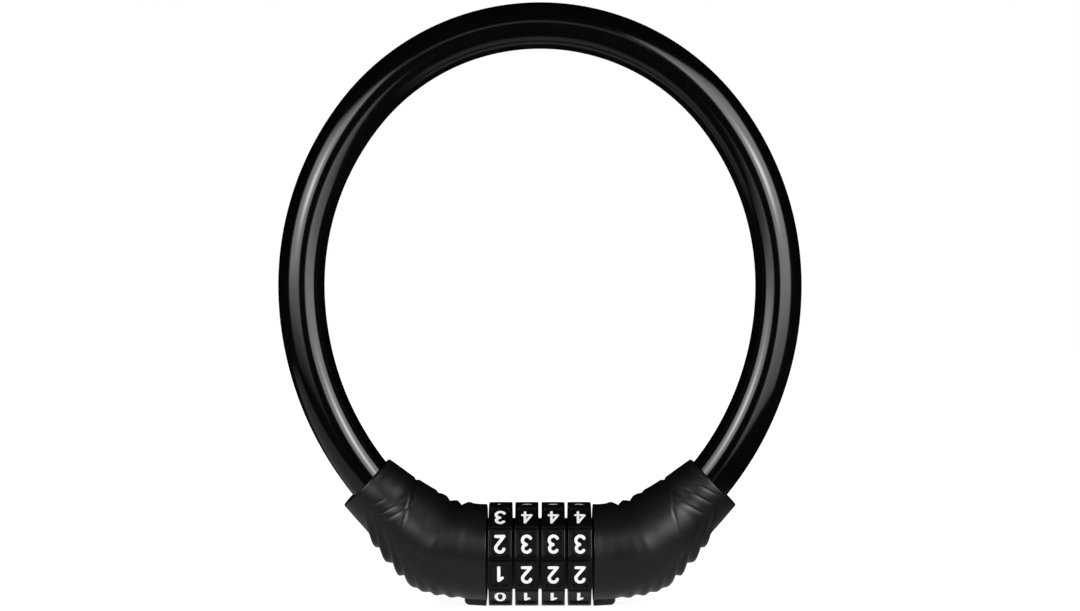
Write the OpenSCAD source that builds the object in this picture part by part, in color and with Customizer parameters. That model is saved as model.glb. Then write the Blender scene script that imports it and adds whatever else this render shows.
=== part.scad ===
// Combination cable lock: a PVC-covered steel cable loop whose plug end pulls
// out of a four-dial lock barrel. Millimetres, +Z up, loop in the XZ plane,
// dial axis along X, origin under the barrel on the plane its two tabs rest on.
// The plug side is at +X and the fixed side at -X.

/* [Cable] */
// Outside diameter of the PVC jacket
cable_d = 12; // [11:0.5:12.5]
// Diameter of the steel wire rope inside the jacket
rope_d = 6.4; // [5:0.2:6.6]
// Radius of the loop's top arc, on the cable's centre line
top_r = 59.2; // [58:0.1:60.5]
// Radius of the loop's side arcs
side_r = 72.8; // [71:0.1:74]
// Radius of the arcs that run down into the sleeves
low_r = 80.6; // [79:0.1:82]
// Most that each bend zone of the cable flexes when the loop is pulled open, degrees
flex_max = 18; // [10:1:20]

/* [Dials] */
// Distance between neighbouring dials along the barrel
dial_pitch = 6.8; // [6.8:0.1:7.2]
// Width of a dial's numbered rim
rim_w = 6.0; // [5.4:0.1:6.2]
// Distance across two opposite number tiles
across_tiles = 26.1; // [25.4:0.1:26.2]
// Radius of the code ring inside each dial
ring_r = 9.5; // [9.4:0.1:9.8]

/* [Lock mechanism] */
// Outside radius of the slotted core tube
tube_r = 6.5; // [6.4:0.05:6.6]
// Radius of the locking pin
pin_r = 4.5; // [4.2:0.05:4.5]
// Width of the locking teeth on the pin
tooth_w = 3.0; // [2.6:0.1:3]
// Radial clearance between the pin and the tube's bore
pin_clear = 0.08; // [0.05:0.01:0.1]
// Radial clearance between the core tube and the code rings
ring_clear = 0.05; // [0.03:0.01:0.08]

/* [Sleeves] */
// Distance from the barrel's centre to a sleeve's end face
sleeve_x = 14.0; // [14:0.1:14.4]
// Bend radius of the sleeve's centre line
bend_r = 30; // [29:0.5:31]
// Length of the straight collar at the mouth
collar_l = 14; // [13:0.5:14]
// Thickness of the sleeve's wall
wall = 1.6; // [1.2:0.1:1.8]
// Height of the bend relief ribs on the outside of the bend
rib_h = 1.0; // [0.4:0.1:1.2]

/* [Hidden] */
$fn = 96;
overlap = 0.01;
axis_z = 13.25;                 // height of the dial axis above the rest plane

jacket_black = [0.02, 0.02, 0.02];
dial_black = [0.03, 0.03, 0.03];
washer_black = [0.04, 0.04, 0.04];
ring_black = [0.05, 0.05, 0.05];
sleeve_black = [0.06, 0.06, 0.06];
cast_grey = [0.55, 0.55, 0.57];

// Barrel
dial_centres = [for (i = [0:3]) (i - 1.5) * dial_pitch];
tiles = 10;                     // one for each digit
tile_step = 360 / tiles;
apothem = across_tiles / 2;
corner_r = apothem / cos(tile_step / 2);
ring_half = 3.1;                // half length of a code ring
web_lo = 0.6;                   // the locking web runs from here to ring_half
cavity_r = 8.2;                 // clear radius where a tooth sits
tooth_tip = 7.9;
tooth_lo = -2.6;                // a tooth's span, from its ring's centre
tooth_hi = -0.1;
bore_r = pin_r + pin_clear;
key_l = 5.2;                    // keys between a code ring and its dial
key_w = 1.2;
key_fit = 0.03;
clip_lo = 13.9;                 // the retaining ring's span along the tube
clip_hi = 14.9;
barrel_end = 23;                // how far the tube and the pin reach into their hubs

// Hub, ferrule and rivets; spans on the straight run are measured from the elbow
hub_lo = 14.2;
hub_neck_r = 7.8;
press_fit = 0.02;
rivet_r = 1.2;
rivet_half = 7.9;               // half length of a cross rivet's shank
fixed_rivet_x = 19;
plug_rivet_x = 20;
small_rivet_r = 1.0;
small_rivet_t = 7.2;
ferrule_lo = 3.2;
ferrule_hi = 12.6;
ferrule_r = 5.0;
stop_r = 5.3;                   // the ferrule's stop collar
stop_l = 1.4;
crimp_fit = 0.03;
waist_starts = [9.2, 11.0];
waist_l = 0.8;
waist_r = 4.6;
rope_lo = 4.2;
jacket_lo = 12.9;

// Loop, as [x, z] from the dial axis: three tangent arcs a side, angles above +X
function toward(angle) = [cos(angle), sin(angle)];
function on_arc(arc, angle) = arc[0] + arc[1] * toward(angle);
function degrees_of(length, radius) = length / radius * 180 / PI;

top_z = 137.44;
top_join_a = 38.2;              // top arc to side arc
low_join_a = -1.2;              // side arc to low arc
run_join_a = -38.7;             // low arc to the straight run into the hub
top_arc = [[0, top_z - top_r], top_r];        // [centre, radius]
side_arc = [top_arc[0] + (top_r - side_r) * toward(top_join_a), side_r];
low_arc = [side_arc[0] + (side_r - low_r) * toward(low_join_a), low_r];
run_join = on_arc(low_arc, run_join_a);
run_l = run_join[1] / cos(run_join_a);        // straight run down to the dial axis
elbow_x = run_join[0] + run_l * sin(run_join_a);

// Cable section, bend zones and breaks
cable_r = cable_d / 2;
rope_r = rope_d / 2;
jacket_bore = rope_r + 0.05;
top_hinge_a = 64;               // on the top arc
side_hinge_a = -14.4;           // on the low arc
top_hinge = on_arc(top_arc, top_hinge_a);
side_hinge = on_arc(low_arc, side_hinge_a);
function half_gap(radius) = radius * tan(flex_max / 2) + 0.06;
jacket_gap = half_gap(cable_r); // half gap between lengths at a bend zone
rope_gap = half_gap(rope_r);
break_l = 0.1;                  // half break where two arcs meet
band_l = 0.35;                  // half length of the band that bridges it
band_t = 0.02;
knuckle_r = 0.78 * rope_r;
knuckle_clear = 0.05;

// ---------- helpers ----------

module lift() { translate([0, 0, axis_z]) children(); }

// Paired parts are drawn at +X, and mirrored for the fixed side
module flip() { mirror([1, 0, 0]) children(); }

module at(point) { translate([point[0], 0, point[1]]) children(); }

module along_x(start, end, radius) {
    translate([start, 0, 0]) rotate([0, 90, 0]) cylinder(h = end - start, r = radius);
}

module along_y(length, radius) {
    rotate([90, 0, 0]) cylinder(h = length, r = radius, center = true);
}

// Frame on the straight run, Z up the cable, at a distance from the elbow
module at_run(distance) {
    translate([elbow_x, 0, 0]) rotate([0, -run_join_a, 0])
        translate([0, 0, distance]) children();
}

module on_run(start, end, radius) {
    at_run(start) cylinder(h = end - start, r = radius);
}

// ---------- cable ----------

// Rod or pipe swept along an arc between two angles, cut short by a length at each
module cable_arc(arc, lo, lo_cut, hi, hi_cut, radius, bore) {
    start = lo + degrees_of(lo_cut, arc[1]);
    end = hi - degrees_of(hi_cut, arc[1]);
    at(arc[0]) rotate([90, 0, 0]) rotate([0, 0, start])
        rotate_extrude(angle = end - start) translate([arc[1], 0]) difference() {
            circle(r = radius);
            if (bore > 0) circle(r = bore);
        }
}

// A short band across the break at an angle on an arc
module band(arc, angle, radius, bore) {
    at(on_arc(arc, angle)) rotate([0, -angle, 0]) difference() {
        cylinder(h = 2 * band_l, r = radius + band_t, center = true);
        if (bore > 0) cylinder(h = 1, r = bore - band_t, center = true);
    }
}

// From the hub to the side bend zone
module end_length(start, radius, gap, bore = 0) {
    cable_arc(low_arc, run_join_a, break_l, side_hinge_a, gap, radius, bore);
    difference() {
        on_run(start, run_l - break_l, radius);
        if (bore > 0) on_run(start - 1, run_l + 1, bore);
    }
    band(low_arc, run_join_a, radius, bore);
}

// From the side bend zone to the top one
module side_length(radius, gap, bore = 0) {
    cable_arc(low_arc, side_hinge_a, gap, low_join_a, break_l, radius, bore);
    cable_arc(side_arc, low_join_a, break_l, top_join_a, break_l, radius, bore);
    cable_arc(top_arc, top_join_a, break_l, top_hinge_a, gap, radius, bore);
    band(side_arc, low_join_a, radius, bore);
    band(top_arc, top_join_a, radius, bore);
}

// Between the two top bend zones
module top_length(radius, gap, bore = 0) {
    cable_arc(top_arc, top_hinge_a, gap, 180 - top_hinge_a, gap, radius, bore);
}

module end_jacket() { end_length(jacket_lo, cable_r, jacket_gap, jacket_bore); }
module end_rope() { end_length(rope_lo, rope_r, rope_gap); }
module side_jacket() { side_length(cable_r, jacket_gap, jacket_bore); }
module side_rope() { side_length(rope_r, rope_gap); }

// The rope's two ends at a bend zone turn on a knuckle across the cable
module knuckle(point, clear = 0) {
    at(point) along_y(1.1 * rope_r + 2 * clear, knuckle_r + clear);
}
module recess(point) { knuckle(point, knuckle_clear); }

module fixed_jacket() { color(jacket_black) lift() flip() end_jacket(); }
module left_jacket() { color(jacket_black) lift() flip() side_jacket(); }
module top_jacket() {
    color(jacket_black) lift() top_length(cable_r, jacket_gap, jacket_bore);
}
module right_jacket() { color(jacket_black) lift() side_jacket(); }
module plug_jacket() { color(jacket_black) lift() end_jacket(); }

module fixed_rope() {
    color("silver") lift() flip() union() {
        end_rope();
        knuckle(side_hinge);
    }
}
module left_rope() {
    color("silver") lift() flip() difference() {
        union() {
            side_rope();
            knuckle(top_hinge);
        }
        recess(side_hinge);
    }
}
module top_rope() {
    color("silver") lift() difference() {
        union() {
            top_length(rope_r, rope_gap);
            knuckle(top_hinge);
        }
        flip() recess(top_hinge);
    }
}
module right_rope() {
    color("silver") lift() difference() {
        union() {
            side_rope();
            knuckle(side_hinge);
        }
        recess(top_hinge);
    }
}
module plug_rope() {
    color("silver") lift() difference() {
        end_rope();
        recess(side_hinge);
    }
}

// Crimp ferrule: a swaged steel barrel on the rope's end, with a stop collar
module ferrule() {
    rope_hole = rope_r + crimp_fit;
    difference() {
        union() {
            on_run(ferrule_lo, ferrule_hi, ferrule_r);
            on_run(ferrule_lo, ferrule_lo + stop_l, stop_r);
        }
        on_run(rope_lo - 0.1, ferrule_hi + 1, rope_hole);
        // cut right through here; the narrower waists below fill the cuts
        for (t = waist_starts) on_run(t, t + waist_l, ferrule_r + 0.2);
    }
    for (t = waist_starts) difference() {
        on_run(t - overlap, t + waist_l + overlap, waist_r);
        on_run(t - 1, t + 2, rope_hole);
    }
}
module fixed_ferrule() { color("silver") lift() flip() ferrule(); }
module plug_ferrule() { color("silver") lift() ferrule(); }

// ---------- sleeves ----------

sleeve_bend = 45;
bend_l = bend_r * PI / 4;
sleeve_l = bend_l + collar_l;

// [distance along the centre line from the end face, centre line to skin]
inside_of_bend = [
    [0, 12.5], [8, 12.3], [13.5, 11.9], [18, 11.5], [22.5, 11.0], [26.5, 10.4],
    [28.6, 9.6], [30, 9.3], [37.6, 8.1]
];
outside_of_bend = [
    [0, 12.35], [5, 12.25], [12, 12.4], [14.5, 12.2], [16.5, 11.6], [18.5, 11.0],
    [20.5, 10.5], [22.5, 9.9], [24.5, 9.5], [26.5, 9.2], [31.6, 8.75], [37.6, 8.15]
];
// [distance of the rib's crest from the end face, relative height]
outer_ribs = [
    [23.7, 0.9], [20.0, 1.0], [16.6, 1.0], [13.8, 0.8], [11.2, 0.55], [8.8, 0.45], [6.2, 0.4]
];
// [distance of the rib's crest from the end face, height]
inner_ribs = [[7.75, 0.4], [13.6, 0.45], [19.7, 0.4], [25.8, 0.35]];
outer_rib_half = 1.75;
inner_rib_half = 2.6;

seat_r = 10.95;                 // cavity round the hub's flange
seat_end = 3.3;
collar_bore = 7.2;
taper_start = 24;               // the cavity narrows to the collar's bore between these
taper_end = 27;

// Stations along the sleeve where its skin and its cavity are sampled
skin_stations = concat(
    [0, 2, 4], [for (s = [5:0.95:25.9]) s], [27.2, 28.4, 29.4, 31, 34], [sleeve_l]);
cavity_stations = [
    0, seat_end, 3.6, 6, 9, 12, 15, 18, 21, taper_start, 25.5, taper_end, 32, sleeve_l
];
around_count = 32;              // points round each station

// s is the distance along the sleeve; around is the angle round its section,
// 0 on the inside of the bend and 90 at +Y
function cosine_step(x) = (1 + cos(180 * x)) / 2;
function bump(distance, half) = abs(distance) > half ? 0 : cosine_step(distance / half);
function fade(angle, full, soft) =
    angle < full ? 1 : angle > full + soft ? 0 : cosine_step((angle - full) / soft);
function total(values, i = 0) = i >= len(values) ? 0 : values[i] + total(values, i + 1);

// Ribs outside the bend; inside it, low ribs in a shallow hollow
function ribs(s, around) =
    let (off_inside = min(around, 360 - around))
    rib_h * fade(180 - off_inside, 45, 28)
        * total([for (rib = outer_ribs) rib[1] * bump(s - rib[0], outer_rib_half)])
    + fade(off_inside, 22, 16)
        * total([for (rib = inner_ribs) rib[1] * (bump(s - rib[0], inner_rib_half) - 0.5)]);

function skin_r(s) = (lookup(s, inside_of_bend) + lookup(s, outside_of_bend)) / 2;
function skin_offset(s) = (lookup(s, inside_of_bend) - lookup(s, outside_of_bend)) / 2;

// Point on a circle round the centre line, its centre shifted towards the inside
function section_point(s, around, radius, offset) =
    let (
        tilt = min(sleeve_bend, degrees_of(s, bend_r)),
        straight = max(0, s - bend_l),
        x = sleeve_x + bend_r * sin(tilt) + straight * cos(sleeve_bend),
        z = bend_r * (1 - cos(tilt)) + straight * sin(sleeve_bend),
        inward = radius * cos(around) + offset
    )
    [x - inward * sin(tilt), radius * sin(around), z + inward * cos(tilt)];

function skin_point(s, around) =
    let (rib = s > 0 && s < sleeve_l ? ribs(s, around) : 0)
    section_point(s, around, skin_r(s) + rib, skin_offset(s));

function cavity_point(s, around) =
    s <= seat_end ? section_point(s, around, seat_r, 0)
    : s >= taper_end ? section_point(s, around, collar_bore, 0)
    : let (blend = max(0, (s - taper_start) / (taper_end - taper_start)))
        section_point(s, around, (skin_r(s) - wall) * (1 - blend) + collar_bore * blend,
            skin_offset(s) * (1 - blend));

function quad(a, b, c, d) = [[a, b, c], [a, c, d]];

module sleeve_shell() {
    skin_last = len(skin_stations) - 1;
    cavity_last = len(cavity_stations) - 1;
    columns = [0:around_count - 1];
    points = concat(
        [for (s = skin_stations) for (j = columns) skin_point(s, j * 360 / around_count)],
        [for (s = cavity_stations) for (j = columns) cavity_point(s, j * 360 / around_count)]);
    function skin(i, j) = i * around_count + j % around_count;
    function cavity(i, j) = skin(skin_last + 1 + i, j);
    faces = concat(
        [for (i = [0:skin_last - 1]) for (j = columns)
            each quad(skin(i, j), skin(i, j + 1), skin(i + 1, j + 1), skin(i + 1, j))],
        [for (i = [0:cavity_last - 1]) for (j = columns)
            each quad(cavity(i, j), cavity(i + 1, j), cavity(i + 1, j + 1), cavity(i, j + 1))],
        [for (j = columns)
            each quad(skin(0, j), cavity(0, j), cavity(0, j + 1), skin(0, j + 1))],
        [for (j = columns)
            each quad(skin(skin_last, j), skin(skin_last, j + 1),
                cavity(cavity_last, j + 1), cavity(cavity_last, j))]);
    polyhedron(points = points, faces = faces, convexity = 8);
}

// The index tab under the sleeve's end marks the row of numbers that opens the lock
module index_tab() {
    size = [5.4, 4.8, 1.7];
    translate([sleeve_x + 0.2, -size[1] / 2, -axis_z]) cube(size);
}

module sleeve() {
    union() {
        sleeve_shell();
        index_tab();
    }
}
module fixed_sleeve() { color(sleeve_black) lift() flip() sleeve(); }
module plug_sleeve() { color(sleeve_black) lift() sleeve(); }

// ---------- hubs ----------

// Elbow hub: a die-cast knuckle that joins the barrel's axis to the cable's crimp
module hub_body() {
    along_x(hub_lo, hub_lo + 3, 10.5);
    along_x(hub_lo, elbow_x, hub_neck_r);
    translate([elbow_x, 0, 0]) sphere(r = 7.0);
    on_run(0, 12.2, 6.8);
}

module rivet_hole(x) { translate([x, 0, 0]) along_y(40, rivet_r + press_fit); }

// Bores for the tube or pin, its cross rivet, the ferrule and the ferrule's rivets
module hub_bores(shaft_r, rivet_x) {
    along_x(13, barrel_end + 0.05, shaft_r + press_fit);
    rivet_hole(rivet_x);
    on_run(ferrule_lo - 0.1, 20, ferrule_r + crimp_fit);
    on_run(ferrule_lo - 0.1, ferrule_lo + stop_l + 0.1, stop_r + crimp_fit);
    at_run(small_rivet_t) along_y(40, small_rivet_r + press_fit);
}

// The cross rivet holds the tube or pin in the hub; the short pair holds the ferrule
module cross_rivet(x) {
    translate([x, 0, 0]) rotate([90, 0, 0]) {
        cylinder(h = 2 * rivet_half, r = rivet_r, center = true);
        for (m = [0, 1]) mirror([0, 0, m]) translate([0, 0, rivet_half - overlap])
            cylinder(h = 0.5, r1 = rivet_r + 0.5, r2 = rivet_r);
    }
}
module ferrule_rivets() {
    shank_lo = 5.06;
    shank_hi = 6.8;
    at_run(small_rivet_t) rotate([90, 0, 0]) for (m = [0, 1]) mirror([0, 0, m]) {
        translate([0, 0, shank_lo]) cylinder(h = shank_hi - shank_lo, r = small_rivet_r);
        translate([0, 0, shank_hi - overlap]) cylinder(h = 0.1, r = small_rivet_r);
        translate([0, 0, shank_hi + 0.05])
            cylinder(h = 0.3, r1 = small_rivet_r + 0.4, r2 = small_rivet_r);
    }
}

module fixed_hub() {
    color(cast_grey) lift() flip() difference() {
        union() {
            hub_body();
            along_x(13.9, 14.3, 8.4);
        }
        hub_bores(tube_r, fixed_rivet_x);
    }
}
module plug_hub() {
    color(cast_grey) lift() difference() {
        hub_body();
        along_x(13, 16.6, 8.6);
        hub_bores(pin_r, plug_rivet_x);
    }
}
module fixed_hub_rivets() {
    color("silver") lift() flip() {
        cross_rivet(fixed_rivet_x);
        ferrule_rivets();
    }
}
module plug_hub_rivets() {
    color("silver") lift() {
        cross_rivet(plug_rivet_x);
        ferrule_rivets();
    }
}

// ---------- barrel ----------

// Block as wide as a tooth plus an allowance, rising from a depth below the dial axis
module tooth_block(start, length, depth, height, extra_w = 0) {
    width = tooth_w + extra_w;
    translate([start, -width / 2, -depth]) cube([length, width, height]);
}

module core_tube() {
    tube_end = 16;
    color("silver") lift() difference() {
        along_x(-barrel_end, tube_end, tube_r);
        along_x(-14.5, tube_end + 1, bore_r);
        // slot for the teeth, at the bottom
        tooth_block(-13.2, length = 40, depth = 10, height = 8, extra_w = 0.3);
        // groove for the detent leaf, at the top
        translate([-13.7, -1.5, tube_r - 0.85]) cube([28, 3, 3]);
        // keyway for the spacer washers, at +Y
        translate([-13.85, tube_r - 0.8, -0.65]) cube([40, 3, 1.3]);
        // groove for the retaining ring
        difference() {
            along_x(clip_lo - 0.05, clip_hi + 0.05, tube_r + 1);
            along_x(13, 16, tube_r - 0.6);
        }
        rivet_hole(-fixed_rivet_x);
        // lead-in for the pin
        translate([tube_end - 0.8, 0, 0]) rotate([0, 90, 0])
            cylinder(h = 1, r1 = bore_r - 0.1, r2 = bore_r + 0.9);
    }
}

// Thin washers either side of each dial, keyed to the tube
module spacer_washers() {
    thick = 0.4;
    key = 1.1;
    color(washer_black) lift() for (i = [0:4]) translate([(i - 2) * dial_pitch, 0, 0])
        difference() {
            union() {
                difference() {
                    along_x(-thick / 2, thick / 2, 9.2);
                    along_x(-1, 1, tube_r + ring_clear);
                }
                translate([-thick / 2, tube_r - 0.65, -key / 2]) cube([thick, 1.2, key]);
            }
            tooth_block(-1, length = 2, depth = 8.35, height = 4, extra_w = 0.6);
        }
}

// Leaf spring with one rounded bump under each dial's web
module detent_spring() {
    leaf = [27, 2.7, 0.35];
    color("silver") lift() {
        translate([-leaf[0] / 2, -leaf[1] / 2, tube_r - 0.8]) cube(leaf);
        for (centre = dial_centres)
            translate([centre + (web_lo + ring_half) / 2, 0, tube_r - 0.5]) rotate([0, 90, 0])
                intersection() {
                    cylinder(h = 1.6, r = 1.05, center = true);
                    translate([-2, 0, 0]) cube([4, 4, 4], center = true);
                }
    }
}

// C-shaped clip in the tube's groove, open where the teeth pass
module retaining_ring() {
    mouth_w = 4.6;
    color("silver") lift() difference() {
        along_x(clip_lo, clip_hi, 8.2);
        along_x(13, 16, tube_r - 0.55);
        translate([13, -mouth_w / 2, -10]) cube([3, mouth_w, 10]);
    }
}

// Four keys, or with clearance their keyways, round a code ring
module ring_keys(length, reach, clear = 0) {
    for (k = [0:3]) rotate([k * 90 + 45, 0, 0])
        translate([-key_l / 2 - clear, -key_w / 2 - clear, 0])
            cube([length, key_w + 2 * clear, ring_r + reach]);
}

// Code ring: the web locks the tooth unless its notch faces the slot
module code_ring(i) {
    color(ring_black) lift() translate([dial_centres[i - 1], 0, 0]) difference() {
        union() {
            along_x(-ring_half, ring_half, ring_r);
            ring_keys(length = key_l, reach = 0.55);
        }
        along_x(-10, 10, tube_r + ring_clear);
        along_x(-10, web_lo, cavity_r);
        // the tooth's notch
        tooth_block(0, length = 10, depth = 8.15, height = 5, extra_w = 0.5);
        // detent notches at the other nine digits
        for (k = [1:tiles - 1]) rotate([k * tile_step, 0, 0]) translate([0, 0, -tube_r])
            along_x(0, 10, 0.95);
    }
}
module code_ring_1() { code_ring(1); }
module code_ring_2() { code_ring(2); }
module code_ring_3() { code_ring(3); }
module code_ring_4() { code_ring(4); }

// Number dial: ten flat tiles parted by grooves, keyed to its code ring
module dial(i) {
    half = rim_w / 2;
    // [radius, place along the axis]: the rim's bevelled section
    bevels = [
        [0, -half], [apothem - 0.3, -half], [apothem + 0.3, -half + 0.35],
        [corner_r - 0.1, -half + 0.8], [corner_r - 0.1, half - 0.8],
        [apothem + 0.3, half - 0.35], [apothem - 0.3, half], [0, half]
    ];
    color(dial_black) lift() translate([dial_centres[i - 1], 0, 0]) difference() {
        intersection() {
            rotate([0, 90, 0]) linear_extrude(height = rim_w, center = true)
                polygon([for (k = [0:tiles - 1]) corner_r * toward((k + 0.5) * tile_step)]);
            rotate([0, 90, 0]) rotate_extrude() polygon(bevels);
        }
        along_x(-10, 10, ring_r + key_fit);
        ring_keys(length = 10, reach = 0.6, clear = key_fit);
        for (k = [0:tiles - 1]) rotate([(k + 0.5) * tile_step, 0, 0])
            translate([0, 0, corner_r + 0.05]) along_x(-10, 10, 0.6);
    }
}
module dial_1() { dial(1); }
module dial_2() { dial(2); }
module dial_3() { dial(3); }
module dial_4() { dial(4); }

// Locking pin: a rod with a tapered nose and one tooth for each dial
module locking_pin() {
    pin_lo = -11.9;
    nose_l = 1.5;
    color("silver") lift() difference() {
        union() {
            along_x(pin_lo, barrel_end, pin_r);
            translate([pin_lo - nose_l, 0, 0]) rotate([0, 90, 0])
                cylinder(h = nose_l, r1 = pin_r - 1.2, r2 = pin_r);
            for (centre = dial_centres)
                tooth_block(centre + tooth_lo, tooth_hi - tooth_lo, tooth_tip, height = 5);
        }
        rivet_hole(plug_rivet_x);
    }
}

core_tube();
fixed_hub();
fixed_hub_rivets();
fixed_ferrule();
fixed_sleeve();
spacer_washers();
detent_spring();
retaining_ring();
fixed_jacket();
fixed_rope();
dial_1();
dial_2();
dial_3();
dial_4();
code_ring_1();
code_ring_2();
code_ring_3();
code_ring_4();
left_jacket();
left_rope();
top_jacket();
top_rope();
right_jacket();
right_rope();
plug_jacket();
plug_rope();
plug_ferrule();
plug_hub();
plug_hub_rivets();
locking_pin();
plug_sleeve();
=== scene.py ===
"""Cable luggage lock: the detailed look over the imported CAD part.

Four number dials lie along X between two bent sleeves, and a cable loop rises from the
sleeves in the XZ plane. The viewer looks along +Y, so the front is at -Y. Lengths are
millimetres from the dial axis until a mesh is made, when they become metres in the row
frame. Materials, stage, lights and camera are in metres throughout.
"""

import math

import bmesh
import bpy
import numpy as np
from mathutils import Matrix, Vector


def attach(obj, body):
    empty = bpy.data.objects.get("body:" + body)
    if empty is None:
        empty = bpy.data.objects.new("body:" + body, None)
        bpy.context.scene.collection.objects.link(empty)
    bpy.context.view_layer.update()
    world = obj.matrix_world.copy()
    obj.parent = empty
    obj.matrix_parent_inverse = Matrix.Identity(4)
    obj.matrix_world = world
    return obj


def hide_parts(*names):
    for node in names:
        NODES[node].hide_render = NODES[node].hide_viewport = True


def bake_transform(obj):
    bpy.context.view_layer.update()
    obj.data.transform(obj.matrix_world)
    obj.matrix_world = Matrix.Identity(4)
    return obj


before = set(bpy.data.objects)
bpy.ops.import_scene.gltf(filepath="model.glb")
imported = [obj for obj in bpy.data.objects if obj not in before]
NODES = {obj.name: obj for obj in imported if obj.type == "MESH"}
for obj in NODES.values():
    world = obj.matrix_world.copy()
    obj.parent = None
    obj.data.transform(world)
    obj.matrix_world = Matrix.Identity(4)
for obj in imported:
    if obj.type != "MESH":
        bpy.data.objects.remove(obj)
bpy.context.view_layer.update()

MM = 0.001
AXIS_Z = 13.25                   # height of the dial axis above the floor
scene = bpy.context.scene
rad, sin, cos = np.radians, np.sin, np.cos


# ---------------------------------------------------------------- curves

def smooth_curve(points):
    """Smooth curve through (x, y) points that doesn't overshoot them."""
    x, y = np.array(points, float).T
    step, slope = np.diff(x), np.diff(y) / np.diff(x)
    tangent = np.zeros(len(x))
    tangent[0], tangent[-1] = slope[0], slope[-1]
    for i in range(1, len(x) - 1):
        before, after = slope[i - 1], slope[i]
        if before * after > 0:
            w_before, w_after = 2 * step[i] + step[i - 1], step[i] + 2 * step[i - 1]
            tangent[i] = (w_before + w_after) / (w_before / before + w_after / after)

    def value(at):
        at = np.clip(np.asarray(at, float), x[0], x[-1])
        i = np.clip(np.searchsorted(x, at, side="right") - 1, 0, len(x) - 2)
        t = (at - x[i]) / step[i]
        return ((1 + 2 * t) * (1 - t) ** 2 * y[i] + t * (1 - t) ** 2 * step[i] * tangent[i]
                + t * t * (3 - 2 * t) * y[i + 1] + t * t * (t - 1) * step[i] * tangent[i + 1])

    return value


def smooth(t):
    t = np.clip(t, 0, 1)
    return t * t * (3 - 2 * t)


def fade(value, full, zero):
    """1 up to full, 0 from zero on."""
    return 1 - smooth((value - full) / (zero - full))


def bell(distance, width):
    return np.exp(-(distance / width) ** 2)


def unit(angle):
    return np.array([cos(angle), sin(angle)])


def wave_field(*waves):
    """A slow unevenness. Each wave is (amount, frequency a, frequency b, phase)."""
    def value(a, b):
        return sum(amount * sin(freq_a * a + freq_b * b + phase)
                   for amount, freq_a, freq_b, phase in waves)

    return value


# ---------------------------------------------------------------- meshes

def round_angles(cols):
    return np.arange(cols) / cols * 2 * math.pi


def grid_quads(rows, cols, close_rows=True):
    """Quads over rings of cols points; close_rows joins the last ring to the first."""
    i = np.arange(rows if close_rows else rows - 1)[:, None]
    j = np.arange(cols)[None, :]
    i_next, j_next = (i + 1) % rows, (j + 1) % cols
    quads = [i * cols + j, i * cols + j_next, i_next * cols + j_next, i_next * cols + j]
    return np.stack(quads, -1).reshape(-1, 4)


def face_out(verts, quads):
    """The quads, turned if need be so that they enclose a positive volume."""
    first, second, third, fourth = (verts[quads[:, k]] for k in range(4))
    volume = (np.einsum("ij,ij->i", first, np.cross(second, third))
              + np.einsum("ij,ij->i", first, np.cross(third, fourth))).sum()
    return quads if volume > 0 else quads[:, ::-1]


def rings_mesh(rings, close_rows=True):
    verts = np.concatenate(rings)
    return verts, face_out(verts, grid_quads(len(rings), len(rings[0]), close_rows))


def make_object(name, verts, faces, material, sharp, flip=False):
    """verts in millimetres from the dial axis; edges over sharp degrees shade hard."""
    places = (verts + [0, 0, AXIS_Z]) * MM
    faces = [tuple(int(k) for k in face) for face in faces]
    if flip:
        faces = [face[::-1] for face in faces]
    mesh = bpy.data.meshes.new(name)
    mesh.from_pydata(places.tolist(), [], faces)
    mesh.polygons.foreach_set("use_smooth", [True] * len(mesh.polygons))
    mesh.update()
    mesh.set_sharp_from_angle(angle=math.radians(sharp))
    mesh.materials.append(material)
    obj = bpy.data.objects.new(name, mesh)
    scene.collection.objects.link(obj)
    return obj


# ---------------------------------------------------------------- shader nodes

def add_node(tree, kind, inputs=(), **settings):
    """One shader node; each input is a value or an output to read."""
    node = tree.nodes.new("ShaderNode" + kind)
    for key, value in settings.items():
        setattr(node, key, value)
    for key, value in dict(inputs).items():
        if isinstance(value, bpy.types.NodeSocket):
            tree.links.new(value, node.inputs[key])
        else:
            node.inputs[key].default_value = value
    return node


def math_node(tree, operation, *values):
    return add_node(tree, "Math", enumerate(values), operation=operation).outputs[0]


def step_node(tree, value, zero, one):
    """0 at zero and beyond, 1 at one and beyond, smooth between."""
    rising = zero < one
    node = add_node(tree, "MapRange", {
        "From Min": min(zero, one), "From Max": max(zero, one),
        "To Min": 0.0 if rising else 1.0, "To Max": 1.0 if rising else 0.0,
        "Value": value}, interpolation_type="SMOOTHSTEP")
    return node.outputs["Result"]


def add_noise(tree, scale, detail=3.0, stretch=(1, 1, 1)):
    coords = add_node(tree, "TexCoord")
    mapping = add_node(tree, "Mapping", {"Scale": stretch, "Vector": coords.outputs["Object"]})
    noise = add_node(tree, "TexNoise", {"Scale": scale, "Detail": detail,
                                        "Vector": mapping.outputs["Vector"]})
    return noise.outputs["Fac"]


def mix_colours(tree, factor, first, second):
    mix = add_node(tree, "Mix", data_type="RGBA")
    for key, value in (("A", first), ("B", second)):
        if isinstance(value, tuple):
            mix.inputs[key].default_value = (*value, 1)
        else:
            tree.links.new(value, mix.inputs[key])
    tree.links.new(factor, mix.inputs["Factor"])
    return mix.outputs["Result"]


def empty_material(name):
    """A new material's node tree with nothing but its output, and that output."""
    material = bpy.data.materials.new(name)
    material.use_nodes = True
    tree = material.node_tree
    tree.nodes.clear()
    return material, tree, add_node(tree, "OutputMaterial")


# ---------------------------------------------------------------- materials

GRAIN_DEPTH = 0.00003


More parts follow.
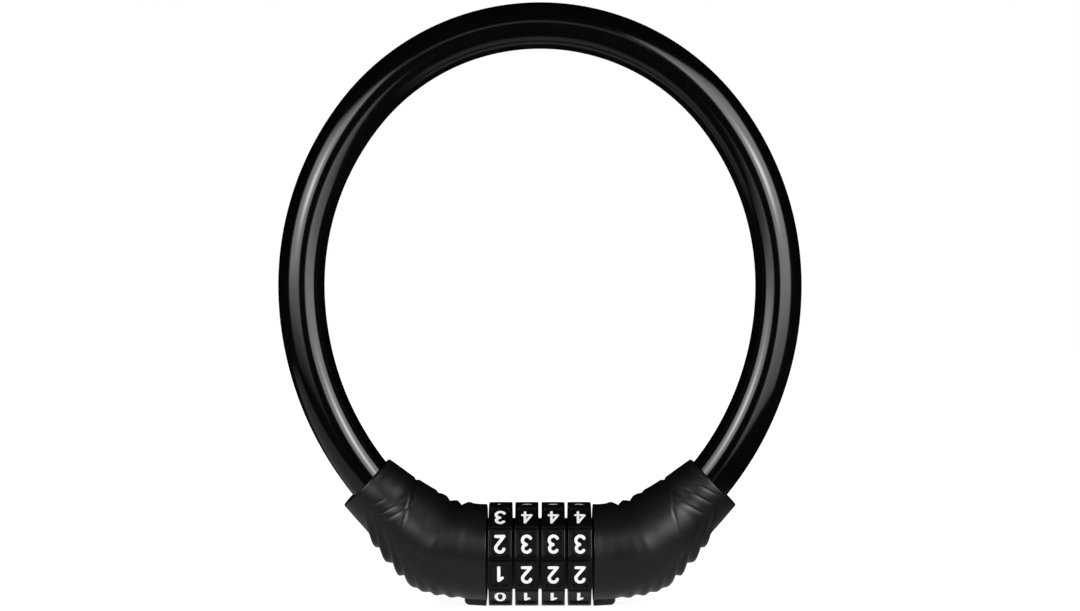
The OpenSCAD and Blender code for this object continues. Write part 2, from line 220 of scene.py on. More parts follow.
def finish(name, tones, rough, scale, metallic=0.0, specular=0.5, grain=None,
           stretch=(1, 1, 1), soft=None):
    """Two tones and two roughnesses mixed by noise of the given scale.

    grain is the (strength, noise scale) of a fine bump; soft is the radius to which
    hard edges look rounded.
    """
    material = bpy.data.materials.new(name)
    material.use_nodes = True
    tree = material.node_tree
    shader = tree.nodes["Principled BSDF"]
    noise = add_noise(tree, scale, stretch=stretch)
    tree.links.new(mix_colours(tree, noise, *tones), shader.inputs["Base Color"])
    rough_range = add_node(tree, "MapRange", {"To Min": rough[0], "To Max": rough[1],
                                              "Value": noise})
    tree.links.new(rough_range.outputs["Result"], shader.inputs["Roughness"])
    shader.inputs["Metallic"].default_value = metallic
    shader.inputs["IOR"].default_value = 1.5
    shader.inputs["Specular IOR Level"].default_value = specular
    normal_in = shader.inputs["Normal"]
    if grain:
        strength, grain_scale = grain
        height = add_noise(tree, grain_scale, detail=2.0, stretch=stretch)
        bump = add_node(tree, "Bump", {"Strength": strength, "Distance": GRAIN_DEPTH,
                                       "Height": height})
        tree.links.new(bump.outputs["Normal"], normal_in)
        normal_in = bump.inputs["Normal"]
    if soft:
        rounding = add_node(tree, "Bevel", {"Radius": soft}, samples=6)
        tree.links.new(rounding.outputs["Normal"], normal_in)
    return material


def change_roughness(tree, mask, amount):
    """Adds amount to the roughness where mask is 1."""
    rough_in = tree.nodes["Principled BSDF"].inputs["Roughness"]
    old = rough_in.links[0].from_socket
    tree.links.new(math_node(tree, "MULTIPLY_ADD", mask, amount, old), rough_in)


def add_wear(material, grey, smoother):
    """Raised edges turn to a grey and are rubbed smoother, in patches."""
    tree = material.node_tree
    geometry = add_node(tree, "NewGeometry")
    patches = add_noise(tree, 260.0, detail=4.0)
    edge = math_node(tree, "MULTIPLY",
                     step_node(tree, geometry.outputs["Pointiness"], zero=0.515, one=0.60),
                     step_node(tree, patches, zero=0.38, one=0.62))
    colour_in = tree.nodes["Principled BSDF"].inputs["Base Color"]
    old = colour_in.links[0].from_socket
    tree.links.new(mix_colours(tree, edge, old, (grey, grey, grey)), colour_in)
    change_roughness(tree, edge, -smoother)


def add_scuffs(material, amount):
    """Fine hairline scuffs that change the gloss, drawn out along Z."""
    tree = material.node_tree
    fine = add_noise(tree, 900.0, detail=5.0, stretch=(1.0, 1.0, 0.12))
    change_roughness(tree, step_node(tree, fine, zero=0.50, one=0.72), amount)


PVC = finish("jacket_pvc", tones=((0.0006, 0.0006, 0.0007), (0.0011, 0.0011, 0.0012)),
             rough=(0.085, 0.115), scale=90.0)
SLEEVE = finish("sleeve_plastic", tones=((0.0016, 0.0016, 0.0017), (0.0028, 0.0028, 0.0030)),
                rough=(0.31, 0.37), scale=220.0, grain=(0.10, 3800.0), specular=0.42)
TILE = finish("dial_plastic", tones=((0.0010, 0.0010, 0.0011), (0.0020, 0.0020, 0.0022)),
              rough=(0.17, 0.22), scale=400.0, grain=(0.05, 4200.0), specular=0.27)
INK = finish("digit_white", tones=((0.76, 0.76, 0.75), (0.84, 0.84, 0.83)),
             rough=(0.40, 0.50), scale=1500.0, grain=(0.05, 3000.0))
add_scuffs(PVC, amount=0.035)
add_wear(SLEEVE, grey=0.0075, smoother=0.05)
add_wear(TILE, grey=0.010, smoother=0.04)
RING = finish("ring_plastic", tones=((0.010, 0.010, 0.011), (0.016, 0.016, 0.017)),
              rough=(0.34, 0.44), scale=500.0, soft=0.00015)
WASHER = finish("washer_black", tones=((0.008, 0.008, 0.008), (0.013, 0.013, 0.013)),
                rough=(0.38, 0.48), scale=500.0)
TUBE = finish("tube_steel", tones=((0.50, 0.50, 0.51), (0.60, 0.60, 0.61)), metallic=1.0,
              rough=(0.20, 0.32), scale=300.0, stretch=(0.4, 14, 14), soft=0.0002)
RIVET = finish("rivet_steel", tones=((0.52, 0.51, 0.50), (0.64, 0.63, 0.62)), metallic=1.0,
               rough=(0.24, 0.34), scale=700.0, soft=0.0002)
FERRULE = finish("ferrule_steel", tones=((0.46, 0.46, 0.46), (0.58, 0.58, 0.58)),
                 metallic=1.0, rough=(0.28, 0.42), scale=500.0)
SPRING = finish("spring_steel", tones=((0.20, 0.20, 0.22), (0.30, 0.30, 0.32)), metallic=1.0,
                rough=(0.22, 0.34), scale=400.0, stretch=(1, 10, 10), soft=0.0001)
ZINC = finish("hub_zinc", tones=((0.34, 0.34, 0.35), (0.44, 0.44, 0.45)), metallic=1.0,
              rough=(0.40, 0.55), scale=900.0, grain=(0.25, 2500.0), soft=0.0003)
ROPE = finish("rope_steel", tones=((0.40, 0.40, 0.40), (0.60, 0.60, 0.60)), metallic=1.0,
              rough=(0.30, 0.45), scale=600.0, stretch=(6, 6, 1))

# The CAD pieces that stay in sight: material, slot name, pieces
CAD_FINISHES = [
    (TUBE, "tube_steel", ["core_tube", "locking_pin"]),
    (ZINC, "hub_zinc", ["fixed_hub", "plug_hub"]),
    (RIVET, "rivet_steel", ["fixed_hub_rivets", "plug_hub_rivets"]),
    (FERRULE, "ferrule_steel", ["fixed_ferrule", "plug_ferrule"]),
    (WASHER, "washer_black", ["spacer_washers"]),
    (SPRING, "spring_steel", ["detent_spring", "retaining_ring"]),
    (RING, "ring_plastic", ["code_ring_1", "code_ring_2", "code_ring_3", "code_ring_4"]),
    (ROPE, "rope_steel", ["fixed_rope", "left_rope", "top_rope", "right_rope", "plug_rope"]),
]
for material, slot_name, pieces in CAD_FINISHES:
    for piece in pieces:
        NODES[piece].data.materials.clear()
        NODES[piece].data.materials.append(material)


# ---------------------------------------------------------------- cable

CABLE_R = 6.0
CABLE_TOP = 137.44               # height of the centre line's top
CABLE_BENDS = [(59.2, rad(38.2)), (72.8, rad(-1.2)), (80.6, rad(-38.7))]   # radius, end angle


def chain_arcs():
    """The right half's arcs as (start run, end run, centre, radius, start angle).

    Also the point and angle where the last ends. Runs are lengths along the centre line
    from the top; angles are those of the outward direction.
    """
    arcs = []
    joint, angle, run = np.array([0.0, CABLE_TOP]), math.pi / 2, 0.0
    for radius, end_angle in CABLE_BENDS:
        centre = joint - radius * unit(angle)
        end_run = run + radius * (angle - end_angle)
        arcs.append((run, end_run, centre, radius, angle))
        joint, angle, run = centre + radius * unit(end_angle), end_angle, end_run
    return arcs, joint, angle


ARCS, ARCS_END, END_ANGLE = chain_arcs()
ARCS_RUN = ARCS[-1][1]
JACKET_END = ARCS_RUN + 12.2     # the cable runs on straight past the arcs
SPLIT = 74.5                     # run where a half's top and low pieces meet


def cable_at(run):
    """Centre-line point and outward direction; run is + towards +X."""
    distance = abs(run)
    for start, end, centre, radius, start_angle in ARCS:
        if distance <= end:
            angle = start_angle - (distance - start) / radius
            x, z = centre + radius * unit(angle)
            break
    else:
        angle = END_ANGLE
        x, z = ARCS_END + (distance - ARCS_RUN) * np.array([sin(angle), -cos(angle)])
    side = -1.0 if run < 0 else 1.0
    return np.array([side * x, z]), np.array([side * cos(angle), sin(angle)])


jacket_wobble = wave_field((0.010, 0.055, 1, 0.4), (0.008, 0.021, -1, 2.1),
                           (0.006, 0.11, 2, 1.3), (0.004, 0.23, -3, 0.2))


def graded(start, end, step=0.9):
    """Positions with short steps at both ends, so that neighbouring pieces shade alike."""
    ends = np.cumsum([0, 0.05, 0.1, 0.2, 0.4, 0.7])
    head, tail = start + ends, end - ends[::-1]
    count = max(2, int(round((tail[0] - head[-1]) / step)) + 1)
    return np.concatenate([head, np.linspace(head[-1], tail[0], count)[1:-1], tail])


def cap(loop, neighbours):
    """The loop as a face, turned against the row of quads it closes."""
    edges = {(quad[k], quad[(k + 1) % 4]) for quad in neighbours for k in range(4)}
    return loop if (loop[1], loop[0]) in edges else loop[::-1]


def jacket_piece(name, span, bend, replaced, cols=112):
    """A length of jacket over span, capped at both ends; the points of the stretch bend are worked
    out and not used.
    """
    runs = graded(*span)
    angles = round_angles(cols)
    rings = []
    for run in runs:
        centre, out = cable_at(run)
        radius = CABLE_R + jacket_wobble(run, angles)
        rings.append(np.stack([centre[0] + radius * cos(angles) * out[0],
                               radius * sin(angles),
                               centre[1] + radius * cos(angles) * out[1]], -1))
    verts, quads = rings_mesh(rings, close_rows=False)
    faces = [tuple(quad) for quad in quads]
    first = tuple(range(cols))
    last = tuple(len(verts) - cols + k for k in range(cols))
    faces += [cap(first, faces[:cols]), cap(last, faces[-cols:])]
    obj = make_object(name, verts, faces, PVC, sharp=50)

    def frame_point(run):
        (x, z), _ = cable_at(run)
        return (x * MM, 0.0, (z + AXIS_Z) * MM)

    frame_point(bend[0])
    frame_point(bend[1])
    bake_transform(obj)
    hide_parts(*replaced)


jacket_piece("jacket_left_low", span=(-JACKET_END, -SPLIT),
             bend=(-152.0, -84.0), replaced=["fixed_jacket", "left_jacket"])
jacket_piece("jacket_left_top", span=(-SPLIT, 0.0),
             bend=(-70.0, -3.0), replaced=["left_jacket", "top_jacket"])
jacket_piece("jacket_right_top", span=(0.0, SPLIT),
             bend=(3.0, 70.0), replaced=["top_jacket", "right_jacket"])
jacket_piece("jacket_right_low", span=(SPLIT, JACKET_END),
             bend=(84.0, 152.0), replaced=["right_jacket", "plug_jacket"])


# ---------------------------------------------------------------- sleeves
# A sleeve bends up from the dials by 45 degrees and ends in a straight collar. "along" is
# the distance on its path from the dials. Angles round it are 0 on the inside of the bend.

BEND_R = 30.0
BEND_ANGLE = math.pi / 4
SLEEVE_X = 14.0                  # where the path starts
BEND_LENGTH = BEND_R * BEND_ANGLE
SLEEVE_LENGTH = BEND_LENGTH + 14.0
WALL = 1.6
SOCKET_R = 10.95                 # opening against the dials
BORE_R = 7.2                     # opening at the mouth
RIB_LEAN = rad(12)

# Path to surface on the outside of the bend, with the ribs: (along, distance)
outside_ribbed = smooth_curve([
    (0, 12.3), (3.2, 12.15), (5.0, 11.82), (6.6, 12.42), (7.8, 12.06), (9.4, 12.86),
    (10.3, 12.48), (11.8, 13.1), (12.8, 12.82), (13.8, 13.1), (14.7, 12.82), (16.0, 11.5),
    (17.0, 12.3), (17.4, 12.1), (19.0, 10.5), (20.5, 11.36), (21.0, 11.2), (22.8, 9.62),
    (24.0, 10.4), (24.8, 10.3), (26.2, 9.6), (27.5, 9.1), (31.6, 8.78), (37.6, 8.4)])
# The same without ribs
outside = smooth_curve([
    (0, 12.3), (5, 12.12), (8.5, 12.42), (11.5, 12.72), (13.5, 12.66), (15.5, 12.15),
    (17.5, 11.6), (20, 10.95), (23, 10.1), (25.5, 9.6), (27.5, 9.1), (31.6, 8.78), (37.6, 8.4)])
# On the inside of the bend
inside = smooth_curve([
    (0, 12.78), (7.5, 12.68), (13, 12.1), (18, 11.78), (23, 11.25), (25.2, 10.7),
    (27.6, 10.15), (29.3, 9.68), (31.6, 9.32), (37.6, 8.3)])
FOLDS = [(10.6, 0.95, 2.3), (15.7, 0.80, 2.4), (21.6, 0.42, 1.9)]   # along, depth, half width


def sleeve_path(along):
    """Position and direction angle of the path."""
    along = np.asarray(along, float)
    angle = np.minimum(along / BEND_R, BEND_ANGLE)
    straight = np.maximum(0, along - BEND_LENGTH)
    x = SLEEVE_X + BEND_R * sin(angle) + straight * math.cos(BEND_ANGLE)
    z = BEND_R * (1 - cos(angle)) + straight * math.sin(BEND_ANGLE)
    return x, z, angle


def sleeve_round(along):
    """Radius of the plain cross section and its shift towards the inside of the bend."""
    return (outside(along) + inside(along)) / 2, (inside(along) - outside(along)) / 2


def across_ribs(x, z):
    """Position at right angles to the leaning ribs."""
    return x * math.cos(RIB_LEAN) - z * math.sin(RIB_LEAN)


def rib_stations():
    """Stations along the path, and where the outside of the bend lies across the ribs."""
    along = np.linspace(0, SLEEVE_LENGTH, 400)
    x, z, angle = sleeve_path(along)
    return along, across_ribs(x + outside(along) * sin(angle), z - outside(along) * cos(angle))


RIB_ALONG, RIB_ACROSS = rib_stations()


def sleeve_relief(along, angles, grooves):
    """How far the moulded details stand above the plain cross section."""
    radius, shift = sleeve_round(along)
    path_x, path_z, lean = sleeve_path(along)
    inward = shift + radius * cos(angles)          # distance towards the inside of the bend
    x, z = path_x - inward * sin(lean), path_z + inward * cos(lean)
    from_in = np.abs(angles)
    from_out = np.abs(from_in - math.pi)
    on_inside = fade(from_in, rad(10), rad(38))
    # ribs round the outside of the bend
    start = np.interp(across_ribs(x, z), RIB_ACROSS, RIB_ALONG)
    rib = outside_ribbed(start) - outside(start)
    reach = np.interp(start, [4, 9, 14, 17, 24, 28], [0.62, 0.72, 0.9, 1.0, 1.0, 0.9])
    height = rib * fade(from_out, rad(26) * reach, rad(66) * reach)
    # folds on the inside of the bend, and a low swelling before them
    for place, depth, half in FOLDS:
        off = np.abs(along - place + 0.25 * (1 - cos(from_in)) * radius)
        height = height - depth * np.clip(1 - off / half, 0, 1) ** 1.35 * on_inside
    height = height + 0.10 * bell(along - 7.2, 1.0) * on_inside
    # the seam where the collar starts: notched on the inside of the bend, gone on the outside
    off = along - (23.25 + 0.56 * inward)
    seam = fade(-(inward + 2.0), 0.0, 4.0)
    notch = smooth((inward - 5.5) / 3.5)
    height = height - (0.05 * bell(off - 0.1, 0.40) + 0.045 * bell(off - 0.1, 0.24)) * seam
    height = height + 0.02 * bell(off + 0.85, 0.5) * seam - 0.34 * bell(off - 0.25, 0.5) * notch
    # short, slightly slanting grooves across the collar's front and back, each with a raised
    # bar beside it
    from_mouth = SLEEVE_LENGTH - along
    for place, low, high, depth in grooves:
        span = fade(np.maximum(low - inward, inward - high), -1.4, 0.7)
        off = from_mouth - 0.30 * (inward - (low + high) / 2) - place
        height = height - (depth * bell(off, 0.42) + 0.05 * bell(off, 0.23)) * span
        height = height + 0.5 * depth * bell(off - 1.05, 0.55) * span
    return height


def sleeve_mesh(grooves, phase, slant):
    cols = 224
    angles = (np.arange(cols) / cols * 2 - 1) * math.pi
    uneven = wave_field((0.020, 0.31, 1, phase), (0.014, 0.53, -2, 1.7 + phase),
                        (0.010, 0.9, 3, 0.6), (0.006, 1.7, -4, 2.0))
    rings = []

    def ring(along, inset=0.0, push=0.0, radius=None, shift=0.0):
        """A moulded ring, or a plain one if it has a radius. push moves it on past along."""
        x, z, lean = sleeve_path(along)
        if radius is None:
            radius, shift = sleeve_round(along)
            radius = radius + (sleeve_relief(along, angles, grooves) + uneven(along, angles))
        reach = np.full(cols, radius) - inset
        inward = shift + reach * cos(angles)
        # the mouth's back stands further out
        push = push + slant * smooth((along - SLEEVE_LENGTH + 3.0) / 2.5) * reach * sin(angles)
        x, z = x + push * cos(lean), z + push * sin(lean)
        rings.append(np.stack([x - inward * sin(lean), reach * sin(angles),
                               z + inward * cos(lean)], -1))

    # the end against the dials, rounded
    end_push, rounding = -0.26, 0.22
    ring(0.0, radius=SOCKET_R, push=end_push)
    for turn in np.linspace(0, math.pi / 2, 7):
        ring(0.0, inset=rounding * (1 - sin(turn)), push=end_push + rounding * (1 - cos(turn)))
    for along in np.arange(0.36, SLEEVE_LENGTH - 0.62, 0.16):
        ring(along)
    # the mouth's lip, outer then inner edge
    rounding = 0.42
    for turn in np.linspace(0, math.pi / 2, 8):
        ring(SLEEVE_LENGTH - rounding * (1 - sin(turn)), inset=rounding * (1 - cos(turn)))
    rounding = 0.30
    for turn in np.linspace(0, math.pi / 2, 6):
        ring(SLEEVE_LENGTH - rounding * (1 - cos(turn)),
             radius=BORE_R + rounding * (1 - sin(turn)))
    # the hollow, back to the dials
    for along in np.linspace(SLEEVE_LENGTH - 0.8, 27.2, 12):
        ring(along, radius=BORE_R)
    for along in np.linspace(26.6, 3.9, 26):
        to_bore = smooth((along - 24) / 3)
        radius, shift = sleeve_round(along)
        ring(along, radius=(radius - WALL) * (1 - to_bore) + BORE_R * to_bore,
             shift=shift * (1 - to_bore))
    ring(3.3, radius=SOCKET_R)
    ring(1.6, radius=SOCKET_R)
    return rings_mesh(rings)


TAB_X = (13.9, 19.6)
TAB_HALF_Y = 2.5
TAB_Z = (-AXIS_Z, -11.2)
TAB_CORNER = 1.5


def tab_mesh():
    """The index tab: a small bar under the sleeve's end, rounded at its far end."""
    near_x, far_x = TAB_X
    bottom = TAB_Z[0]
    bm = bmesh.new()
    verts = [bm.verts.new((x, y, z)) for z in TAB_Z for y in (-TAB_HALF_Y, TAB_HALF_Y)
             for x in TAB_X]
    for face in [(0, 2, 3, 1), (4, 5, 7, 6), (0, 1, 5, 4), (2, 6, 7, 3), (0, 4, 6, 2), (1, 3, 7, 5)]:
        bm.faces.new([verts[k] for k in face])
    bm.normal_update()

    def edges_where(test):
        return [edge for edge in bm.edges if all(test(vert.co) for vert in edge.verts)]

    def upright_at(x):
        return [edge for edge in edges_where(lambda co: abs(co.x - x) < 1e-6)
                if abs(edge.verts[0].co.y - edge.verts[1].co.y) < 1e-6]

    def round_off(edges, offset, segments):
        bmesh.ops.bevel(bm, geom=edges, offset=offset, segments=segments, profile=0.5,
                        affect="EDGES")

    def at_bottom(co):
        return abs(co.z - bottom) < 1e-6

    round_off(upright_at(far_x), TAB_CORNER, segments=8)
    round_off(edges_where(lambda co: at_bottom(co) and co.x > far_x - TAB_CORNER - 0.01),
              1.30, segments=8)
    low_sides = edges_where(lambda co: at_bottom(co) and abs(co.y) > TAB_HALF_Y - 1e-3)
    low_sides = [edge for edge in low_sides if edge.calc_length() > 1.0]
    round_off(low_sides + upright_at(near_x), 0.3, segments=4)
    places = np.array([vert.co[:] for vert in bm.verts])
    bm.verts.index_update()
    faces = [tuple(vert.index for vert in face.verts) for face in bm.faces]
    bm.free()
    return places, faces


def sleeve(name, body, replaced, grooves, phase, slant, mirror=False):
    """A sleeve with its tab, at +X or mirrored to -X.

    grooves are (distance from the mouth, low and high inward limits, depth).
    """
    verts, quads = sleeve_mesh(grooves, phase, slant)
    tab_verts, tab_faces = tab_mesh()
    faces = list(quads) + [tuple(k + len(verts) for k in face) for face in tab_faces]
    verts = np.concatenate([verts, tab_verts])
    if mirror:
        verts = verts * [-1, 1, 1]
    obj = make_object(name, verts, faces, SLEEVE, sharp=42, flip=mirror)
    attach(obj, body)
    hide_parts(replaced)


sleeve("sleeve_fixed", "lock_body", "fixed_sleeve", phase=0.3, slant=0.045, mirror=True,
       grooves=[(5.7, -3.3, 1.4, 0.025), (9.2, -3.0, 4.5, 0.03), (10.9, -5.5, 5.0, 0.035)])
sleeve("sleeve_plug", "plug", "plug_sleeve", phase=1.9, slant=0.028,
       grooves=[(2.5, -2.0, 4.0, 0.03), (5.2, -3.5, 5.0, 0.04), (8.5, -4.5, 5.0, 0.045)])


# ---------------------------------------------------------------- dials
# Angles round a dial are 0 at the front and -90 degrees straight down.

TILES = 10
APOTHEM = 13.05                  # axis to the middle of a tile
DIAL_HALF = 3.0                  # half a dial's width
DIAL_BORE = 9.53
PITCH = 6.8
STEP = 2 * math.pi / TILES
LOWEST = -math.pi / 2            # angle of the first tile's middle
CORNER_R = APOTHEM / math.cos(STEP / 2)
PANEL_X, PANEL_Y, PANEL_CORNER = 2.52, 3.06, 0.45   # a sunk panel's half sizes, corner radius


def dial_radius(x, angle):
    """Outside of a dial: ten flat tiles, each a low frame round a sunk panel, with grooves
    between neighbours."""
    from_mid = (angle - LOWEST + STEP / 2) % STEP - STEP / 2
    across = np.abs(APOTHEM * np.tan(from_mid))
    flat = APOTHEM / cos(from_mid)
    over_x, over_y = np.abs(x) - PANEL_X + PANEL_CORNER, across - PANEL_Y + PANEL_CORNER
    away = (np.hypot(np.maximum(over_x, 0), np.maximum(over_y, 0))
            + np.minimum(np.maximum(over_x, over_y), 0) - PANEL_CORNER)
    panel = 0.48 * fade(away, -0.15, 0.0) + 0.05 * fade(across, 0.4, 2.8) * fade(away, -0.9, -0.2)
    to_corner = (STEP / 2 - np.abs(from_mid)) * CORNER_R
    groove = 0.34 * bell(to_corner, 0.20) + 0.10 * bell(to_corner, 0.50)
    crown = 0.035 * (np.abs(x) / DIAL_HALF) ** 3
    return flat - panel - groove - crown


def dial_columns():
    """Angles round the dial, closer together where the panels and grooves turn."""
    half = np.concatenate([np.linspace(0, 0.655, 8)[:-1], np.linspace(0.655, 0.735, 9)[:-1],
                           np.linspace(0.735, 0.92, 4)[:-1], np.linspace(0.92, 1.0, 8)])
    tile = np.concatenate([-half[::-1][:-1], half])[:-1] * STEP / 2
    return np.concatenate([LOWEST + k * STEP + tile for k in range(TILES)])


def dial_point(x, radius, angle):
    return np.stack([x, -radius * cos(angle), radius * sin(angle)], -1)


def dial_mesh(centre):
    angles = dial_columns()
    rings = []

    def ring(x, radius):
        rings.append(dial_point(np.full(len(angles), centre + x), radius, angles))

    edge = 0.14                  # rounding of the outer edges
    side = np.concatenate([np.linspace(1.96, 2.34, 4)[:-1], np.linspace(2.34, 2.54, 8), [2.70]])
    flat_x = np.concatenate([-side[::-1], np.linspace(-1.6, 1.6, 9), side])
    turn = np.linspace(0, math.pi / 2, 6)
    in_x, in_r = edge * (1 - cos(turn)), edge * (1 - sin(turn))
    stations = np.concatenate([-DIAL_HALF + in_x, flat_x, DIAL_HALF - in_x[::-1]])
    insets = np.concatenate([in_r, np.zeros(len(flat_x)), in_r[::-1]])
    ring(-DIAL_HALF, DIAL_BORE)
    ring(-DIAL_HALF, DIAL_BORE + 0.9)
    for x, inset in zip(stations, insets):
        ring(x, dial_radius(x, angles) - inset)
    ring(DIAL_HALF, DIAL_BORE + 0.9)
    ring(DIAL_HALF, DIAL_BORE)
    return rings_mesh(rings)


def arc(x, y, radius_x, radius_y, start, end, count):
    turn = rad(np.linspace(start, end, count))
    return np.stack([x + radius_x * cos(turn), y + radius_y * sin(turn)], -1)


# Digit centre lines, upright: x to the digit's right, y up
WIDE, TALL = 1.06, 1.98          # half sizes
GLYPHS = {
    0: [arc(0, 0, 1.05, TALL, 0, 360, 40)],
    1: [np.array([(0.28, -TALL), (0.28, 1.60), (-0.62, 0.92)])],
    2: [np.concatenate([arc(0, 1.02, 1.05, 1.05, 165, -30, 16), [(-1.0, -TALL), (WIDE, -TALL)]])],
    3: [arc(-0.03, 1.08, 1.0, 0.99, 150, -82, 18), arc(-0.03, -1.0, 1.1, 1.07, 82, -152, 20)],
    4: [np.array([(0.45, -TALL), (0.45, TALL), (-1.18, -0.88), (1.12, -0.88)])],
    5: [np.concatenate([[(0.95, TALL), (-0.80, TALL), (-0.92, 0.25)],
                        arc(0, -0.72, 1.1, 1.33, 128, -150, 22)])],
    6: [arc(0, -0.85, 1.07, 1.22, 0, 360, 32), np.array([(-1.02, -0.5), (-0.75, 0.7), (0.45, TALL)])],
    7: [np.array([(-WIDE, TALL), (WIDE, TALL), (-0.35, -TALL)])],
    8: [arc(0, 1.08, 0.92, 0.98, 0, 360, 28), arc(0, -1.02, 1.08, 1.05, 0, 360, 30)],
    9: [arc(0, 0.85, 1.07, 1.22, 0, 360, 32), np.array([(1.02, 0.5), (0.75, -0.7), (-0.45, -TALL)])],
}
STROKE, STROKE_OF_4 = 0.40, 0.33   # half widths


def digit_outline(lines, stroke, cell=0.055):
    """A digit's filled shape: points, polygons and rim edges. Cells are cut at its edge."""
    grid_x = np.arange(-1.75, 1.7501, cell)
    grid_y = np.arange(-2.75, 2.7501, cell)
    x, y = np.meshgrid(grid_x, grid_y, indexing="ij")
    depth = np.full(x.shape, 1e9)
    for line in lines:
        for start, end in zip(line[:-1], line[1:]):
            way = end - start
            t = ((x - start[0]) * way[0] + (y - start[1]) * way[1]) / max(1e-12, way @ way)
            t = np.clip(t, 0, 1)
            depth = np.minimum(depth, np.hypot(x - start[0] - t * way[0],
                                               y - start[1] - t * way[1]))
    depth -= stroke
    filled = depth < 0
    index, points, polygons, rim = {}, [], [], []

    def point(key, place):
        if key not in index:
            index[key] = len(points)
            points.append(place)
        return index[key]

    def corner(at):
        return point(at, (grid_x[at[0]], grid_y[at[1]]))

    def cut(at, to):
        t = depth[at] / (depth[at] - depth[to])
        return point(frozenset((at, to)),
                     (grid_x[at[0]] + t * (grid_x[to[0]] - grid_x[at[0]]),
                      grid_y[at[1]] + t * (grid_y[to[1]] - grid_y[at[1]])))

    touched = filled[:-1, :-1] | filled[1:, :-1] | filled[1:, 1:] | filled[:-1, 1:]
    for i, j in zip(*np.nonzero(touched)):
        loop = [(i, j), (i + 1, j), (i + 1, j + 1), (i, j + 1)]
        polygon, leaves, returns = [], [], []
        for at, to in zip(loop, loop[1:] + loop[:1]):
            if filled[at]:
                polygon.append(corner(at))
            if filled[at] != filled[to]:
                polygon.append(cut(at, to))
                (leaves if filled[at] else returns).append(polygon[-1])
        if len(polygon) >= 3:
            polygons.append(polygon)
        if len(leaves) == 1:
            rim.append((leaves[0], returns[0]))
    return np.array(points), polygons, rim


OUTLINES = {digit: digit_outline(lines, STROKE_OF_4 if digit == 4 else STROKE)
            for digit, lines in GLYPHS.items()}


def digits_mesh(centre, first):
    """All ten digits of one dial, laid on its tiles. first is the digit at the lowest tile."""
    verts, faces = [], []
    base = 0
    for k in range(TILES):
        points, polygons, rim = OUTLINES[(first + k) % TILES]
        # the digits read upside down from the front
        x = -points[:, 0]
        angle = LOWEST + k * STEP - np.arctan2(points[:, 1], APOTHEM - 0.5)
        radius = dial_radius(x, angle)
        count = len(points)
        verts += [dial_point(centre + x, radius + 0.035, angle),
                  dial_point(centre + x, radius - 0.08, angle)]
        for polygon in polygons:
            faces.append(tuple(base + q for q in polygon))
            faces.append(tuple(base + count + q for q in reversed(polygon)))
        for start, end in rim:
            faces.append((base + end, base + start, base + count + start, base + count + end))
        base += 2 * count
    return np.concatenate(verts), faces


def looks_out(verts, face):
    """True if the face looks away from the dial axis."""
    normal = np.cross(verts[face[1]] - verts[face[0]], verts[face[2]] - verts[face[0]])
    return normal[1:] @ verts[list(face)].mean(0)[1:] > 0


# digit at the lowest tile of each dial
for i, first in enumerate([9, 0, 0, 0]):
    centre = (i - 1.5) * PITCH
    dial = f"dial_{i + 1}"
    tiles = make_object(f"number_{dial}", *dial_mesh(centre), TILE, sharp=38)
    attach(tiles, dial)
    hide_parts(dial)
    verts, faces = digits_mesh(centre, first)
    digits = make_object(f"digits_{dial}", verts, faces, INK, sharp=40,
                         flip=not looks_out(verts, faces[0]))
    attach(digits, dial)


# ---------------------------------------------------------------- washers

WASHER_BORE, NOTCH_R, NOTCH_HALF = 6.56, 8.35, 1.8
# (x from the washer's middle, radius); None stands for the bore
WASHER_PROFILE = [(-0.295, None), (-0.295, 9.08), (-0.25, 9.17), (-0.16, 9.2),
                  (0.16, 9.2), (0.25, 9.17), (0.295, 9.08), (0.295, None)]


def washers_mesh():
    """Five thin washers between and beside the code rings, each notched at the bottom of
    its bore for the pin's teeth."""
    angles = round_angles(120)                     # from straight down
    notch = (np.abs(NOTCH_R * sin(angles)) < NOTCH_HALF) & (cos(angles) > 0)
    bore = np.where(notch, NOTCH_R, WASHER_BORE)
    verts, faces = [], []
    for k in range(5):
        rings = []
        for x, radius in WASHER_PROFILE:
            reach = bore if radius is None else radius
            rings.append(np.stack([np.full(len(angles), (k - 2) * PITCH + x),
                                   reach * sin(angles), -reach * cos(angles)], -1))
        washer, quads = rings_mesh(rings)
        faces += list(quads + k * len(washer))
        verts.append(washer)
    return np.concatenate(verts), faces


washers = make_object("washers", *washers_mesh(), WASHER, sharp=50)
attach(washers, "lock_body")
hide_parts("spacer_washers")


# ---------------------------------------------------------------- stage

def stage_material():
    """White to the camera with a faint contact shadow. Reflections see a pale sheet that
    ends a little in front of the lock, behind it and to its right, on a dark table."""
    material, tree, out = empty_material("floor")
    path = add_node(tree, "LightPath").outputs

    def glow(strength):
        return add_node(tree, "Emission", {"Strength": strength}).outputs[0]

    def mixed(factor, first, second):
        return add_node(tree, "MixShader", {"Fac": factor, 1: first, 2: second}).outputs[0]

    def product(first, second):
        return math_node(tree, "MULTIPLY", first, second)

    diffuse = add_node(tree, "BsdfDiffuse", {"Color": (0.26, 0.26, 0.26, 1)})
    seen = add_node(tree, "AddShader", {0: glow(0.90), 1: diffuse.outputs[0]})
    coords = add_node(tree, "TexCoord")
    split = add_node(tree, "SeparateXYZ", {0: coords.outputs["Object"]})
    x, y = split.outputs["X"], split.outputs["Y"]
    sheet = product(product(step_node(tree, y, zero=-0.100, one=-0.055),
                            step_node(tree, y, zero=0.085, one=0.025)),
                    product(step_node(tree, x, zero=-0.34, one=-0.20),
                            step_node(tree, x, zero=0.095, one=0.045)))
    sheet = product(sheet, 0.40)                   # its brightness
    unseen = mixed(path["Is Glossy Ray"], glow(1.25), glow(sheet))
    tree.links.new(mixed(path["Is Camera Ray"], unseen, seen.outputs[0]), out.inputs["Surface"])
    return material


